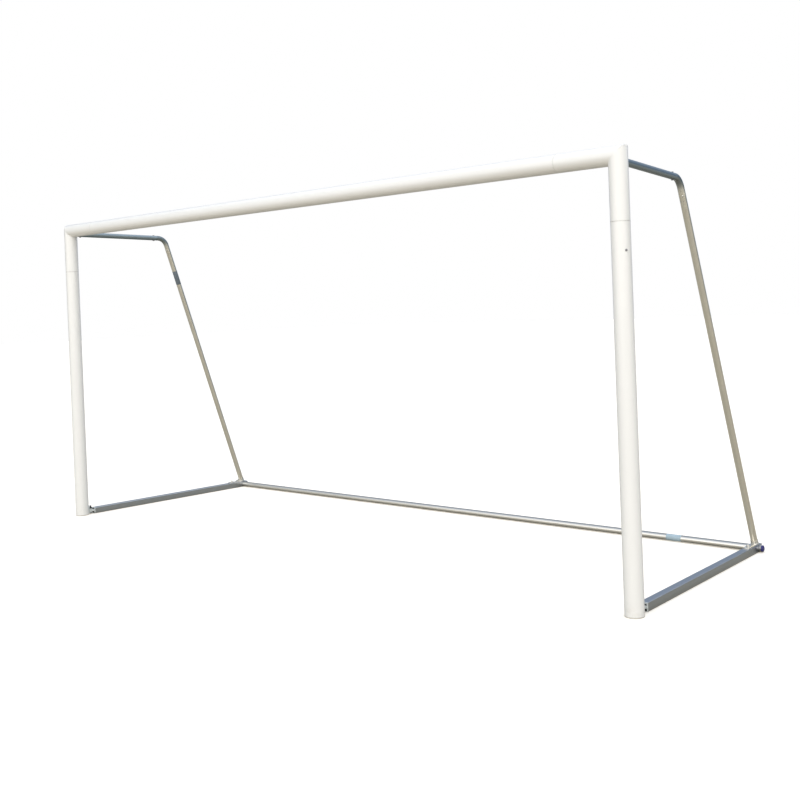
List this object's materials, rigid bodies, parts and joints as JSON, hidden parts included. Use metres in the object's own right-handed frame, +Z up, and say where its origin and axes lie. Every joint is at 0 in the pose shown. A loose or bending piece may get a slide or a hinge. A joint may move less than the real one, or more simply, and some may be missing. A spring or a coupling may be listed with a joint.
{
  "type": "soccer_goal_frame",
  "caption": "Freestanding full-size soccer goal frame: white tubular posts and crossbar with grey galvanised side stays, base bars and rear ground bar.",
  "frame": {"origin": "On the floor, at the middle of the bounding box's footprint.", "axes": "+X runs along the crossbar, to the right as seen from in front of the goal. +Y runs from the goal mouth to the back. +Z is up."},
  "size_m": [4.877, 1.6092, 2.229],
  "materials": {
    "white_paint": "gloss white powder coat",
    "galvanised_steel": "dull galvanised steel tube",
    "zinc_hardware": "dark zinc-plated fasteners",
    "spring_steel": "bright zinc-plated steel",
    "blue_plastic": "moulded navy plastic",
    "black_plastic": "moulded black plastic",
    "ivory_plastic": "moulded off-white plastic",
    "slate_band": "plain wrapped band",
    "pale_blue_band": "plain wrapped band"
  },
  "bodies": {
    "frame": {"crossbar": "white_paint", "ground_bar": "galvanised_steel", "left_stay_band": "slate_band", "ground_bar_band": "pale_blue_band", "left_post_foot": "ivory_plastic", "left_post": "white_paint", "left_post_sleeve": "galvanised_steel", "left_corner": "white_paint", "left_crossbar_sleeve": "galvanised_steel", "left_base_bar": "galvanised_steel", "left_bar_plug": "black_plastic", "left_bar_tongue": "galvanised_steel", "left_post_bracket": "zinc_hardware", "left_bracket_bolt": "zinc_hardware", "left_bracket_nut": "zinc_hardware", "left_top_tube": "galvanised_steel", "left_top_spigot": "white_paint", "left_top_coupler": "galvanised_steel", "left_top_front_bolt": "zinc_hardware", "left_top_front_nut": "zinc_hardware", "left_top_rear_bolt": "zinc_hardware", "left_top_rear_nut": "zinc_hardware", "left_stay_bend": "galvanised_steel", "left_stay_sleeve": "galvanised_steel", "left_stay": "galvanised_steel", "left_stay_foot": "galvanised_steel", "left_foot_bolt": "zinc_hardware", "left_foot_nut": "spring_steel", "left_ground_cap": "blue_plastic", "right_post_foot": "ivory_plastic", "right_post": "white_paint", "right_post_sleeve": "galvanised_steel", "right_corner": "white_paint", "right_crossbar_sleeve": "galvanised_steel", "right_base_bar": "galvanised_steel", "right_bar_plug": "black_plastic", "right_bar_tongue": "galvanised_steel", "right_post_bracket": "zinc_hardware", "right_bracket_bolt": "zinc_hardware", "right_bracket_nut": "zinc_hardware", "right_top_tube": "galvanised_steel", "right_top_spigot": "white_paint", "right_top_coupler": "galvanised_steel", "right_top_front_bolt": "zinc_hardware", "right_top_front_nut": "zinc_hardware", "right_top_rear_bolt": "zinc_hardware", "right_top_rear_nut": "zinc_hardware", "right_stay_bend": "galvanised_steel", "right_stay_sleeve": "galvanised_steel", "right_stay": "galvanised_steel", "right_stay_foot": "galvanised_steel", "right_foot_bolt": "zinc_hardware", "right_foot_nut": "spring_steel", "right_ground_cap": "blue_plastic"},
    "left_post_button_body": {"left_post_button": "spring_steel"},
    "left_crossbar_button_body": {"left_crossbar_button": "spring_steel"},
    "left_stay_button_body": {"left_stay_button": "spring_steel"},
    "right_post_button_body": {"right_post_button": "spring_steel"},
    "right_crossbar_button_body": {"right_crossbar_button": "spring_steel"},
    "right_stay_button_body": {"right_stay_button": "spring_steel"}
  },
  "joints": [
    {"name": "left_post_button_press", "type": "slide", "parent": "frame", "child": "left_post_button_body", "axis": [0.8572, 0.515, 0], "range_m": [0, 0.006], "stiffness_N_per_m": 2000},
    {"name": "left_crossbar_button_press", "type": "slide", "parent": "frame", "child": "left_crossbar_button_body", "axis": [0, -1, 0], "range_m": [0, 0.006], "stiffness_N_per_m": 2000},
    {"name": "left_stay_button_press", "type": "slide", "parent": "frame", "child": "left_stay_button_body", "axis": [-0.4879, 0.8227, 0.2916], "range_m": [0, 0.0046], "stiffness_N_per_m": 2000},
    {"name": "right_post_button_press", "type": "slide", "parent": "frame", "child": "right_post_button_body", "axis": [-0.8572, 0.515, 0], "range_m": [0, 0.006], "stiffness_N_per_m": 2000},
    {"name": "right_crossbar_button_press", "type": "slide", "parent": "frame", "child": "right_crossbar_button_body", "axis": [0, -1, 0], "range_m": [0, 0.006], "stiffness_N_per_m": 2000},
    {"name": "right_stay_button_press", "type": "slide", "parent": "frame", "child": "right_stay_button_body", "axis": [-0.493, 0.8236, 0.2803], "range_m": [0, 0.0046], "stiffness_N_per_m": 2000}
  ]
}
